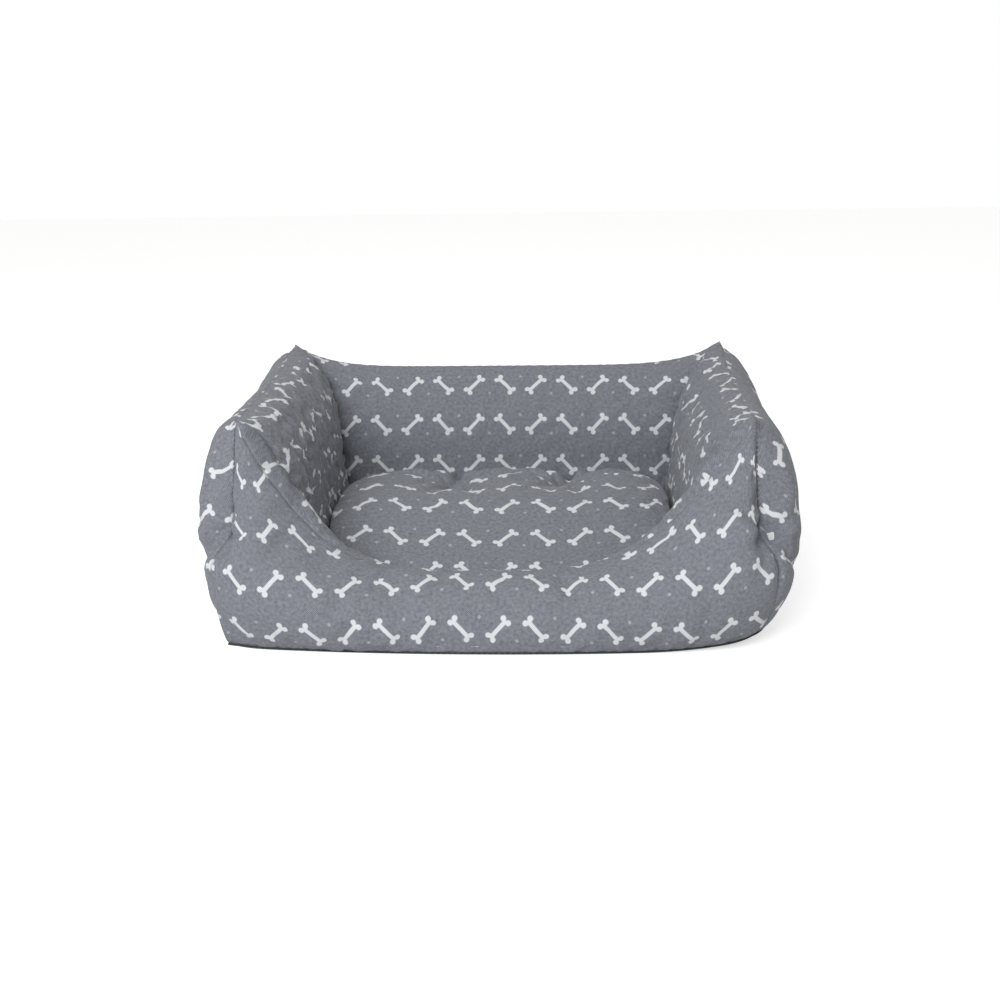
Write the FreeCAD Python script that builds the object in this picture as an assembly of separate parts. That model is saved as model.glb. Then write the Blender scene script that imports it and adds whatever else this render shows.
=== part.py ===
"""Sofa-style dog bed: a stuffed fabric surround with a low, scooped front, and a loose tufted cushion.

Millimetres, +Z up. The origin is the centre of the footprint, on the floor. The front faces -Y.

The surround is four stuffed walls on a flat base. Each wall is an outer and an inner cloth panel,
sewn together along the top, round its own fibre filling. Rows of stitches at the four corners
close each wall off from the next. A section through a wall is given by n, the distance outwards
from the edge of the base, and z. The cushion lies loose inside and lifts straight out. Its cover
has a zip along the back edge.
"""

import math
import os

import FreeCAD
import Part

V = FreeCAD.Vector

# ---- driving dimensions -------------------------------------------------------------------------
base_width = 600.0           # footprint between the side walls' bottom seams
base_depth = 480.0           # footprint between the front and back bottom seams
base_corner_radius = 60.0

corner_height = 238.0        # the top seam at the four corners, its highest points
back_height = 219.0          # the top seam in the middle of the back, which sags
side_height = 230.0          # the top seam in the middle of each side
front_height = 74.0          # the bottom of the scoop in the front wall

wall_thickness = 84.0        # from the base's edge in to where the inner panel meets the floor
inner_lean = 12.0            # how far the inner panel has come back outwards at mid height
side_bulge = 40.0            # how far the stuffed sides stand out past the base
back_bulge = 23.0            # the same at the back
front_bulge = 25.5           # the same at the front, where it is fullest
corner_bulge = -9.0          # the same at the corners, which their stitches draw in
corner_ridge = -16.0         # the top seam's distance out from the base's edge, at the corners
back_ridge = -26.0           # the same in the middle of the back
side_ridge = -12.0           # the same in the middle of the sides
front_ridge = -45.0          # the same in the middle of the front
scoop_squareness = 3.8       # how long the scoop stays low before it climbs to the corners
scoop_shoulder = 1.25        # how roundly the climb ends at the corners
waist_share = 0.46           # the share of its height at which a wall is widest
side_waist_share = 0.54      # the same in the middle of the sides, which are stuffed fuller
front_lean = 36.0            # how far the tops of the front corners lean back

cloth = 1.2                  # printed canvas with its backing
base_cloth = 1.4             # coated non-slip cloth of the underside
wadding_thickness = 15.0     # flat pad sewn into the floor of the surround
pad_radius = 8.0             # corners of the floor pad
pad_gap = 4.0                # from the pad's edge to the inner panels' feet
fit = 0.3                    # clearance between pieces that aren't sewn to each other
seam_fit = 0.1               # clearance between layers sewn together
filling_fit = 0.9            # clearance between a wall's filling and its cloth

cushion_gap = 2.5            # between the cushion's widest seam and the walls
cushion_thickness = 70.0
cushion_corner_radius = 48.0
cushion_top_round = 38.0     # radius of the stuffed edge above the cushion's side seam
cushion_bottom_round = 26.0  # the same below it
tuft_spacing = 142.0         # between the two tufts, across the bed
tuft_back = 52.0             # how far the tufts lie behind the bed's centre
tuft_depth = 24.0
tuft_dimple_radius = 38.0
tuft_cord_radius = 1.5
tuft_knot_radius = 4.5
tuft_knot_thickness = 1.5

zip_length = 300.0
zip_recess = 5.0             # from the cushion's back edge in to the zip
zip_tape_height = 7.5
zip_tape_thickness = 0.6
zip_tooth_pitch = 2.5
zip_tooth_height = 1.6
zip_tooth_thickness = 2.0
zip_row_gap = 1.6            # between the two rows of teeth, where the slider's post runs
slider_length = 10.0
slider_height = 9.0
slider_wall = 1.0
pull_length = 14.0
pull_width = 5.0
pull_thickness = 0.9
pull_fork = 1.2              # width of each arm of the pull's fork
pull_wire = 0.8              # thickness of the slider's loop that the pull hangs on

stitch_length = 3.4
stitch_pitch = 5.2
stitch_radius = 0.55
stitch_start = 12.0          # how far below the top seam the first stitch is
stitched_share = 0.5         # the share of a corner's height that its stitches close, from the top

arc_steps = 6                # steps along each curve of a wall's section
wall_steps = 12              # sections along each half of a wall

# ---- derived places -----------------------------------------------------------------------------
half_width = base_width / 2
half_depth = base_depth / 2
wall_bottom = base_cloth + seam_fit
inner_half_width = half_width - wall_thickness
inner_half_depth = half_depth - wall_thickness
wadding_top = wall_bottom + wadding_thickness
lining_top = wadding_top + seam_fit + cloth
cushion_bottom = lining_top + fit
cushion_top = cushion_bottom + cushion_thickness
cushion_seam_z = cushion_bottom + cushion_bottom_round + 2.0
cushion_half_width = inner_half_width - cushion_gap
cushion_half_depth = inner_half_depth - cushion_gap


def save(shape, name):
    """Write one named piece."""
    assert shape.isValid(), name
    shape.exportStep(f"parts/{name}.step")


def box(low, high):
    """An upright box between two corners."""
    return Part.makeBox(high[0] - low[0], high[1] - low[1], high[2] - low[2], V(*low))


# ---- walls --------------------------------------------------------------------------------------
class Station:
    """One section through a wall: where it lies along the wall and the shape of its profile.

    The sections fan out evenly from the middle of the wall to the mitres at its ends, so the
    wall's end faces lie on the mitres. leant is 1 on the mitres at the front, where the whole
    section leans back with its slope, and fades to 0 away from them.
    """

    def __init__(self, height, bulge, ridge, foot, waist=waist_share, leant=0.0):
        self.height = height
        self.ridge = ridge
        self.slope = leant * front_lean / (corner_height - wall_bottom)
        lean = inner_lean * height / corner_height
        outer = [(foot, wall_bottom), (bulge, waist * height), (ridge + seam_fit, height)]
        inner = [(-wall_thickness, wall_bottom), (lean - wall_thickness, height / 2)]
        inner.append((ridge - seam_fit, height))
        self.outer_circle = circle_through(outer)
        self.inner_circle = circle_through(inner)

    def outer_points(self, inset, top_gap=seam_fit):
        """The (n, z) points up the outer panel's arc, drawn into the wall by inset."""
        return arc_points(self.outer_circle, inset, self.ridge + top_gap, 1)

    def inner_points(self, inset, top_gap=seam_fit):
        """The (n, z) points down the inner panel's arc, drawn into the wall by inset."""
        return arc_points(self.inner_circle, inset, self.ridge - top_gap, -1)[::-1]


def circle_through(points):
    """The centre and radius of the circle through three (n, z) points."""
    (x1, y1), (x2, y2), (x3, y3) = points
    d = 2 * (x1 * (y2 - y3) + x2 * (y3 - y1) + x3 * (y1 - y2))
    s1, s2, s3 = (x * x + y * y for x, y in points)
    cx = (s1 * (y2 - y3) + s2 * (y3 - y1) + s3 * (y1 - y2)) / d
    cy = (s1 * (x3 - x2) + s2 * (x1 - x3) + s3 * (x2 - x1)) / d
    return cx, cy, math.hypot(x1 - cx, y1 - cy)


def n_at(circle, inset, z, side):
    """Where a circle drawn in by inset reaches height z, on its outer (1) or inner (-1) side."""
    cx, cy, radius = circle
    return cx + side * math.sqrt((radius - inset) ** 2 - (z - cy) ** 2)


def arc_points(circle, inset, end_n, side):
    """Evenly spaced (n, z) points of the arc from the floor up to where it reaches end_n."""
    cx, cy, radius = circle
    r = radius - inset
    end_z = cy + math.sqrt(r * r - (end_n - cx) ** 2)
    start_n = n_at(circle, inset, wall_bottom, side)
    start = math.atan2(wall_bottom - cy, start_n - cx)
    end = math.atan2(end_z - cy, end_n - cx)
    if side < 0 and start < 0:
        start += 2 * math.pi
    points = []
    for k in range(arc_steps + 1):
        angle = start + (end - start) * k / arc_steps
        points.append((cx + r * math.cos(angle), cy + r * math.sin(angle)))
    return points


def corner_foot(a, half_length):
    """How far the base's round corner has drawn a wall's foot in, at share a of its half length."""
    start = 1 - base_corner_radius / half_length
    turned = max(0.0, a - start) / (1 - start)
    return -base_corner_radius * (1 - math.sqrt(0.5)) * turned ** 2


def blend(middle, corner, a, power=4):
    """A size that holds near its middle value along the wall and turns to its corner value."""
    return middle + (corner - middle) * a ** power


def front_station(share):
    """The front's top seam drops from the corners in a deep scoop."""
    a = abs(share)
    up = 1 - (1 - a ** scoop_squareness) ** scoop_shoulder
    height = front_height + up * (corner_height - front_height)
    bulge = blend((0.68 + 0.32 * min(1.0, a / 0.75)) * front_bulge, corner_bulge, a, 7)
    ridge = blend(front_ridge, corner_ridge, a, 3)
    return Station(height, bulge, ridge, corner_foot(a, half_width), leant=a ** 3)


def back_station(share):
    """The back's top seam only sags between the corners."""
    a = abs(share)
    height = blend(back_height, corner_height, a)
    bulge = blend(back_bulge, corner_bulge, a)
    ridge = blend(back_ridge, corner_ridge, a)
    return Station(height, bulge, ridge, corner_foot(a, half_width))


def side_station(share):
    """The sides are stuffed full right up to the top. A share below 0 is towards the front."""
    a = abs(share)
    height = blend(side_height, corner_height, a)
    bulge = blend(side_bulge, corner_bulge, a)
    ridge = blend(side_ridge, corner_ridge, a)
    waist = blend(side_waist_share, waist_share, a)
    return Station(height, bulge, ridge, corner_foot(a, half_depth), waist, max(0.0, -share) ** 2)


def placer(wall):
    """A function that turns (along, n, z) into a point of the bed for the wall of that name."""
    return {
        "front": lambda a, n, z: V(a, -half_depth - n, z),
        "back": lambda a, n, z: V(a, half_depth + n, z),
        "left": lambda a, n, z: V(-half_width - n, a, z),
        "right": lambda a, n, z: V(half_width + n, a, z),
    }[wall]


def section_wire(runs):
    """A closed wire of curves, each through evenly spaced points, joined end to end by lines."""
    edges = []
    for run, following in zip(runs, runs[1:] + runs[:1]):
        curve = Part.BSplineCurve()
        curve.interpolate(Points=run, Parameters=[k / arc_steps for k in range(arc_steps + 1)])
        edges.append(curve.toShape())
        edges.append(Part.LineSegment(run[-1], following[0]).toShape())
    return Part.Wire(edges)


def lofted(station_at, half_length, place, runs_of):
    """A solid through evenly spaced sections from one mitre to the other."""
    length = half_length - fit / 2
    wires = []
    for k in range(-wall_steps, wall_steps + 1):
        share = k / wall_steps
        station = station_at(share)
        runs = []
        for run in runs_of(station):
            points = [place(share * (length + n), n, z) for n, z in run]
            runs.append([p + V(0, station.slope * (p.z - wall_bottom), 0) for p in points])
        wires.append(section_wire(runs))
    solid = Part.makeLoft(wires, True, False)
    if solid.Volume < 0:
        solid.reverse()
    return solid


def outer_panel_runs(station):
    return [station.outer_points(0.0), station.outer_points(cloth)[::-1]]


def inner_panel_runs(station):
    return [station.inner_points(0.0), station.inner_points(cloth)[::-1]]


def filling_runs(station):
    inset = cloth + filling_fit
    return [station.outer_points(inset, 2.0), station.inner_points(inset, 2.0)]


def make_wall(name, station_at, half_length):
    place = placer(name)
    save(lofted(station_at, half_length, place, outer_panel_runs), f"{name}_outer_panel")
    save(lofted(station_at, half_length, place, inner_panel_runs), f"{name}_inner_panel")
    save(lofted(station_at, half_length, place, filling_runs), f"{name}_wall_filling")


# ---- base ---------------------------------------------------------------------------------------
def rounded_wire(half_x, half_y, radius, z):
    """A rectangle with round corners, centred on the origin's axis."""
    edges = []
    corners = [(1, 1), (-1, 1), (-1, -1), (1, -1)]
    arcs = []
    for i, (sx, sy) in enumerate(corners):
        centre = V(sx * (half_x - radius), sy * (half_y - radius), z)
        start = math.radians(90 * i)
        points = [
            centre + V(math.cos(start + k * math.pi / 4), math.sin(start + k * math.pi / 4), 0) * radius
            for k in range(3)
        ]
        arcs.append(points)
    for points, following in zip(arcs, arcs[1:] + arcs[:1]):
        edges.append(Part.Arc(*points).toShape())
        edges.append(Part.LineSegment(points[-1], following[0]).toShape())
    return Part.Wire(edges)


def slab(half_x, half_y, radius, bottom, thickness):
    face = Part.Face(rounded_wire(half_x, half_y, radius, bottom))
    return face.extrude(V(0, 0, thickness))


def make_base():
    save(slab(half_width, half_depth, base_corner_radius, 0.0, base_cloth), "base_panel")
    half_x = inner_half_width - pad_gap
    half_y = inner_half_depth - pad_gap
    save(slab(half_x, half_y, pad_radius, wall_bottom, wadding_thickness), "base_wadding")
    save(slab(half_x, half_y, pad_radius, wadding_top + seam_fit, cloth), "base_lining")


# ---- corner stitching ---------------------------------------------------------------------------
def make_corner_stitching():
    """A row of thread stitches down each corner, lying on the outer panels over the joint."""
    stitches = []
    count = int(stitched_share * corner_height / stitch_pitch)
    for sx, sy in [(1, 1), (-1, 1), (-1, -1), (1, -1)]:
        station = side_station(sy)
        for k in range(count):
            ends = []
            for shift in (0.0, stitch_length):
                z = corner_height - stitch_start - k * stitch_pitch - shift
                n = n_at(station.outer_circle, 0.0, z, 1) + stitch_radius + seam_fit
                leant = station.slope * (z - wall_bottom)
                ends.append(V(sx * (half_width + n), sy * (half_depth + n) + leant, z))
            axis = ends[0] - ends[1]
            stitches.append(Part.makeCylinder(stitch_radius, axis.Length, ends[1], axis))
    save(Part.makeCompound(stitches), "corner_stitching")


# ---- cushion ------------------------------------------------------------------------------------
def pillow(inset):
    """The cushion's stuffed form, drawn in by inset on every side."""
    height = cushion_thickness - 2 * inset
    half_x = cushion_half_width - inset
    half_y = cushion_half_depth - inset
    bottom = cushion_bottom + inset
    block = slab(half_x, half_y, cushion_corner_radius - inset, bottom, height)
    for z, radius in ((bottom + height, cushion_top_round), (bottom, cushion_bottom_round)):
        rim = [e for e in block.Edges if abs(e.BoundBox.ZMin - z) < 0.01 and e.BoundBox.ZLength < 0.01]
        block = block.makeFillet(radius - inset, rim)
    return block


def tuft_places():
    return [V(side * tuft_spacing / 2, tuft_back, 0) for side in (-1, 1)]


def dimples(inset):
    """The hollows that the tufts pull in the top, deeper and wider by inset."""
    floor_z = cushion_top - tuft_depth - inset
    cones = []
    for place in tuft_places():
        start = V(place.x, place.y, floor_z)
        height = tuft_depth + 2 * inset + 1.0
        low = tuft_knot_radius + fit + inset
        cones.append(Part.makeCone(low, tuft_dimple_radius + inset, height, start))
    return cones


def tuft_cords():
    """The cord that ties the top panel down to the bottom one, with a flat knot at each end."""
    top = cushion_top - tuft_depth + seam_fit
    bottom = cushion_bottom + cloth + seam_fit
    cords = []
    for place in tuft_places():
        low = V(place.x, place.y, bottom)
        cord = Part.makeCylinder(tuft_cord_radius, top - bottom, low)
        knot = Part.makeCylinder(tuft_knot_radius, tuft_knot_thickness, V(place.x, place.y, top))
        under = Part.makeCylinder(tuft_knot_radius, tuft_knot_thickness, low)
        cords.append(cord.fuse([knot, under]).removeSplitter())
    return cords


def tuft_holes(radius):
    return [
        Part.makeCylinder(radius, cushion_thickness, V(p.x, p.y, cushion_bottom + cloth))
        for p in tuft_places()
    ]


# The zip stands upright in the middle of the cushion's back edge.
zip_back = cushion_half_depth - zip_recess          # the outer face of the tapes
zip_front = zip_back - zip_tape_thickness
zip_mid = (zip_back + zip_front) / 2
teeth_half_height = zip_row_gap / 2 + zip_tooth_height
opening_half_height = teeth_half_height + zip_tape_height
slider_half_depth = zip_tooth_thickness / 2 + fit + slider_wall
slider_room = zip_mid - slider_half_depth - fit
closed_x = zip_length / 2 - 5.0                     # the slider's end when the zip is closed


def zip_pocket(depth_from, side_room, height_room):
    """The upright slot along the cushion's back edge that the zip is sewn into."""
    half_x = zip_length / 2 + side_room
    half_z = opening_half_height + height_room
    return box(
        (-half_x, depth_from, cushion_seam_z - half_z),
        (half_x, cushion_half_depth + 5.0, cushion_seam_z + half_z),
    )


def make_cushion():
    outer = pillow(0.0).cut(dimples(0.0))
    inner = pillow(cloth).cut(dimples(cloth))
    cover = outer.cut([inner, zip_pocket(cushion_half_depth - 40.0, seam_fit, seam_fit)])
    cover = cover.cut(tuft_holes(tuft_cord_radius + fit))
    wide = cushion_half_width + 10.0
    above = box((-wide, -wide, cushion_seam_z), (wide, wide, cushion_top + 10.0))
    save(cover.common(above), "cushion_top_panel")
    save(cover.cut(above), "cushion_bottom_panel")
    inset = cloth + fit
    filling = pillow(inset).cut(dimples(inset))
    filling = filling.cut([zip_pocket(slider_room, fit, fit)] + tuft_holes(tuft_knot_radius + fit))
    save(filling, "cushion_filling")
    save(Part.makeCompound(tuft_cords()), "tuft_cords")


# ---- zip ----------------------------------------------------------------------------------------
def zip_block(x_low, x_high, half_depth_y, z_low, z_high):
    """A box in the plane of the zip, its heights measured from the zip's centre line."""
    return box(
        (x_low, zip_mid - half_depth_y, cushion_seam_z + z_low),
        (x_high, zip_mid + half_depth_y, cushion_seam_z + z_high),
    )


def make_zip():
    half_x = zip_length / 2
    half_tape = zip_tape_thickness / 2
    half_tooth = zip_tooth_thickness / 2
    inner_edge = teeth_half_height + seam_fit
    upper = zip_block(-half_x, half_x, half_tape, inner_edge, opening_half_height)
    lower = zip_block(-half_x, half_x, half_tape, -opening_half_height, -inner_edge)
    save(upper, "zip_tape_upper")
    save(lower, "zip_tape_lower")

    teeth = []
    half_row = zip_row_gap / 2
    half_tooth_width = 0.21 * zip_tooth_pitch * 2
    count = int((zip_length - 12.0) / zip_tooth_pitch)
    for k in range(count):
        x = (k - (count - 1) / 2) * zip_tooth_pitch
        low = x - half_tooth_width
        high = x + half_tooth_width
        teeth.append(zip_block(low, high, half_tooth, half_row, teeth_half_height))
        teeth.append(zip_block(low, high, half_tooth, -teeth_half_height, -half_row))
    save(Part.makeCompound(teeth), "zip_teeth")

    stops = []
    for side in (-1, 1):
        x = side * (half_x - 2.0)
        stops.append(zip_block(x - 1.6, x + 1.6, half_tooth, -teeth_half_height, teeth_half_height))
    save(Part.makeCompound(stops), "zip_stops")


def make_slider():
    """Two plates joined by a post that runs between the rows of teeth, with a loop at the back."""
    left = closed_x - slider_length
    half_z = slider_height / 2
    body = zip_block(left, closed_x, slider_half_depth, -half_z, half_z)
    half_channel = zip_tooth_thickness / 2 + fit
    low = zip_row_gap / 2 - fit
    high = teeth_half_height + fit
    half_slot = zip_tape_thickness / 2 + fit
    cuts = []
    for side in (-1, 1):
        channel = sorted((side * low, side * high))
        slot = sorted((side * low, side * (half_z + 1.0)))
        cuts.append(zip_block(left - 1, closed_x + 1, half_channel, channel[0], channel[1]))
        cuts.append(zip_block(left - 1, closed_x + 1, half_slot, slot[0], slot[1]))
    body = body.cut(cuts)

    plate = zip_mid + slider_half_depth
    rise = pull_thickness + 2 * fit + pull_wire
    middle = left + slider_length / 2
    arch = box(
        (middle - 2.5, plate, cushion_seam_z - pull_wire / 2),
        (middle + 2.5, plate + rise, cushion_seam_z + pull_wire / 2),
    )
    eye = box(
        (middle - 2.5 + pull_wire, plate, cushion_seam_z - 5),
        (middle + 2.5 - pull_wire, plate + rise - pull_wire, cushion_seam_z + 5),
    )
    save(body.fuse(arch.cut(eye)).removeSplitter(), "zip_slider")


def make_pull():
    """The flat tab, lying along the closed zip, forked round a cross-bar in the slider's loop."""
    near = zip_mid + slider_half_depth + fit
    far = near + pull_thickness
    middle = closed_x - slider_length / 2
    half_z = pull_width / 2
    tab = box(
        (middle - pull_length, near, cushion_seam_z - half_z),
        (middle, far, cushion_seam_z + half_z),
    )
    window = box(
        (middle - 5.0, near - 1, cushion_seam_z - half_z + pull_fork),
        (middle + 1.0, far + 1, cushion_seam_z + half_z - pull_fork),
    )
    centre = V(middle, (near + far) / 2, cushion_seam_z - half_z)
    bar = Part.makeCylinder(pull_thickness / 2, pull_width, centre)
    save(tab.cut(window).fuse(bar).removeSplitter(), "zip_pull")


def main():
    os.makedirs("parts", exist_ok=True)
    make_wall("front", front_station, half_width)
    make_wall("back", back_station, half_width)
    make_wall("left", side_station, half_depth)
    make_wall("right", side_station, half_depth)
    make_base()
    make_corner_stitching()
    make_cushion()
    make_zip()
    make_slider()
    make_pull()


main()
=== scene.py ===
import math

import bpy
import numpy as np
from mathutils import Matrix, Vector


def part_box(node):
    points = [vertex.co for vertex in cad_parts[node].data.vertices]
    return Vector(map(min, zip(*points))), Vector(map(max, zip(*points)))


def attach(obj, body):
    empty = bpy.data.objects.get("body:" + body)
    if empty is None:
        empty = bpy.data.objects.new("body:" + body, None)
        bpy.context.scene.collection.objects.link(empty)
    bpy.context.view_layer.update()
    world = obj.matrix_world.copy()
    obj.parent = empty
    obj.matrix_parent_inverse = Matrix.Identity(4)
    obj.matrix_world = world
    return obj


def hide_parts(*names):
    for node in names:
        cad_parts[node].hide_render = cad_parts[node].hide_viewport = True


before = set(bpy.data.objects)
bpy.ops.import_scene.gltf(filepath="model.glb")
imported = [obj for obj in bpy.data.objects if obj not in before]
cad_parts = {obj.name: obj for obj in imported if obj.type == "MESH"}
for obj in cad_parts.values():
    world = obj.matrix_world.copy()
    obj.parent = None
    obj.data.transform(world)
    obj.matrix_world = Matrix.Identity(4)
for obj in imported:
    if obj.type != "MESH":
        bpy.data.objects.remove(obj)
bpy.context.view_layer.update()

# ---- View and light -----------------------------------------------------------------------------
# The bed stands on a plain white floor in soft, even light that comes mostly from the front and
# above, a little more from the left. The camera looks down into the nest from the front.
scene = bpy.context.scene
scene.view_settings.view_transform = "Standard"

camera = bpy.data.objects.new("camera", bpy.data.cameras.new("camera"))
scene.collection.objects.link(camera)
camera.data.lens = 46.2
camera.data.sensor_width = 36.0
camera.location = (0.0696, -1.5081, 0.6034)
camera.rotation_euler = (math.radians(71.15), math.radians(1.0), math.radians(2.37))
scene.camera = camera


def area_light(name, place, aim, size, power, colour):
    light = bpy.data.objects.new(name, bpy.data.lights.new(name, "AREA"))
    light.data.shape = "RECTANGLE"
    light.data.size, light.data.size_y = size
    light.data.energy = power
    light.data.color = colour
    light.location = place
    way = np.array(aim, float) - np.array(place, float)
    flat = math.hypot(way[0], way[1])
    light.rotation_euler = (math.atan2(flat, -way[2]), 0.0, math.atan2(way[1], way[0]) - math.pi / 2)
    scene.collection.objects.link(light)


area_light("front_softbox", (-0.75, -1.9, 1.5), (0.0, 0.0, 0.08), (1.6, 1.2), 35.0, (0.93, 0.96, 1.0))
area_light("right_softbox", (1.6, -1.2, 1.3), (0.0, 0.0, 0.08), (1.2, 1.0), 0.5, (1.0, 1.0, 1.0))
area_light("top_softbox", (0.0, 0.25, 2.1), (0.0, 0.0, 0.0), (1.8, 1.8), 5.6, (1.0, 0.985, 0.96))


def white_for_camera(nodes, links, shader, strength):
    """White where it is looked at directly or in a reflection, and the given shader elsewhere."""
    path = nodes.new("ShaderNodeLightPath")
    seen = nodes.new("ShaderNodeMath")
    seen.operation = "MAXIMUM"
    links.new(path.outputs["Is Camera Ray"], seen.inputs[0])
    links.new(path.outputs["Is Glossy Ray"], seen.inputs[1])
    seen_too = nodes.new("ShaderNodeMath")
    seen_too.operation = "MAXIMUM"
    links.new(seen.outputs[0], seen_too.inputs[0])
    links.new(path.outputs["Is Transmission Ray"], seen_too.inputs[1])
    white = nodes.new("ShaderNodeBackground")
    white.inputs["Color"].default_value = (1.0, 1.0, 1.0, 1.0)
    white.inputs["Strength"].default_value = strength
    mix = nodes.new("ShaderNodeMixShader")
    links.new(seen_too.outputs[0], mix.inputs["Fac"])
    links.new(shader, mix.inputs[1])
    links.new(white.outputs[0], mix.inputs[2])
    return mix.outputs[0]


world = bpy.data.worlds.new("studio")
scene.world = world
world.use_nodes = True
world.node_tree.nodes.clear()
ambient = world.node_tree.nodes.new("ShaderNodeBackground")
ambient.inputs["Color"].default_value = (1.0, 0.985, 0.97, 1.0)
ambient.inputs["Strength"].default_value = 0.34
surface = white_for_camera(world.node_tree.nodes, world.node_tree.links, ambient.outputs[0], 1.0)
world_out = world.node_tree.nodes.new("ShaderNodeOutputWorld")
world.node_tree.links.new(surface, world_out.inputs["Surface"])

floor_mesh = bpy.data.meshes.new("floor")
floor_mesh.from_pydata([(-4, -4, 0), (4, -4, 0), (4, 4, 0), (-4, 4, 0)], [], [(0, 1, 2, 3)])
floor = bpy.data.objects.new("floor", floor_mesh)
scene.collection.objects.link(floor)
floor.location.z = -0.0006
floor_material = bpy.data.materials.new("white_floor")
floor_material.use_nodes = True
floor_nodes = floor_material.node_tree.nodes
floor_nodes["Principled BSDF"].inputs["Base Color"].default_value = (0.86, 0.86, 0.86, 1.0)
floor_nodes["Principled BSDF"].inputs["Roughness"].default_value = 0.9
floor_nodes["Principled BSDF"].inputs["Emission Color"].default_value = (1.0, 1.0, 1.0, 1.0)
floor_path = floor_nodes.new("ShaderNodeLightPath")
floor_glow = floor_nodes.new("ShaderNodeMath")
floor_glow.operation = "MULTIPLY"
floor_glow.inputs[1].default_value = 0.62
floor_links = floor_material.node_tree.links
floor_links.new(floor_path.outputs["Is Camera Ray"], floor_glow.inputs[0])
floor_links.new(floor_glow.outputs[0], floor_nodes["Principled BSDF"].inputs["Emission Strength"])
floor.data.materials.append(floor_material)

# ---- Printed canvas -----------------------------------------------------------------------------
# Grey plain-weave canvas, printed with rows of white bones that lean left and right in turn, and
# a faint dot in each second gap. The pattern repeats every two bones across.
bone_pitch = 0.0408
row_pitch = 0.0560


def new_group(name, inputs, outputs):
    """A shader node group with named sockets: (socket name, socket type, default or None)."""
    group = bpy.data.node_groups.new(name, "ShaderNodeTree")
    for in_out, sockets in (("INPUT", inputs), ("OUTPUT", outputs)):
        for socket_name, kind, value in sockets:
            socket = group.interface.new_socket(socket_name, in_out=in_out, socket_type=kind)
            if value is not None:
                socket.default_value = value
    return group, group.nodes.new("NodeGroupInput"), group.nodes.new("NodeGroupOutput")


class Formula:
    """Writes sums as Math nodes in one node tree."""

    def __init__(self, tree):
        self.tree = tree

    def __call__(self, operation, *values, clamp=False):
        node = self.tree.nodes.new("ShaderNodeMath")
        node.operation = operation
        node.use_clamp = clamp
        for socket, value in zip(node.inputs, values):
            if isinstance(value, (int, float)):
                socket.default_value = value
            else:
                self.tree.links.new(value, socket)
        return node.outputs[0]

    def soft_inside(self, distance, blur):
        """1 where the distance is below zero, fading to 0 over the blur."""
        return self("SUBTRACT", 0.5, self("DIVIDE", distance, blur), clamp=True)

    def length(self, x, y):
        return self("SQRT", self("ADD", self("MULTIPLY", x, x), self("MULTIPLY", y, y)))


print_group, print_in, print_out = new_group(
    "bone_print",
    [("Cloth", "NodeSocketVector", None)],
    [("Bone", "NodeSocketFloat", None), ("Dot", "NodeSocketFloat", None)],
)
f = Formula(print_group)
split = print_group.nodes.new("ShaderNodeSeparateXYZ")
print_group.links.new(print_in.outputs["Cloth"], split.inputs[0])
across, up = split.outputs[0], split.outputs[1]
column = f("FLOOR", f("DIVIDE", across, bone_pitch))
cell_x = f("MULTIPLY", f("SUBTRACT", f("SUBTRACT", f("DIVIDE", across, bone_pitch), column), 0.5), bone_pitch)
row = f("FLOOR", f("DIVIDE", up, row_pitch))
cell_y = f("MULTIPLY", f("SUBTRACT", f("SUBTRACT", f("DIVIDE", up, row_pitch), row), 0.5), row_pitch)
odd = f("ABSOLUTE", f("MODULO", column, 2.0))
turn = f("SUBTRACT", 1.0, f("MULTIPLY", 2.0, odd))
lean = math.radians(47.0)
side_x = f("MULTIPLY", cell_x, turn)
along = f("ABSOLUTE", f("ADD", f("MULTIPLY", side_x, math.cos(lean)), f("MULTIPLY", cell_y, math.sin(lean))))
off = f("ABSOLUTE", f("SUBTRACT", f("MULTIPLY", cell_y, math.cos(lean)), f("MULTIPLY", side_x, math.sin(lean))))
knob = f("SUBTRACT", f.length(f("SUBTRACT", along, 0.0126), f("SUBTRACT", off, 0.0036)), 0.0031)
shaft = f("MAXIMUM", f("SUBTRACT", along, 0.0130), f("SUBTRACT", off, 0.0023))
bone_edge = f("SMOOTH_MIN", knob, shaft, 0.0022)
print_group.links.new(f.soft_inside(bone_edge, 0.0010), print_out.inputs["Bone"])
gap_column = f("FLOOR", f("ADD", f("DIVIDE", across, bone_pitch), 0.5))
gap_x = f("MULTIPLY", f("SUBTRACT", f("DIVIDE", across, bone_pitch), gap_column), bone_pitch)
gap_side = f("SUBTRACT", f("MULTIPLY", 2.0, f("ABSOLUTE", f("MODULO", gap_column, 2.0))), 1.0)
dot_y = f("SUBTRACT", cell_y, f("MULTIPLY", gap_side, -0.22 * row_pitch))
dot_edge = f("SUBTRACT", f.length(gap_x, dot_y), 0.0018)
print_group.links.new(f.soft_inside(dot_edge, 0.0008), print_out.inputs["Dot"])

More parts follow.
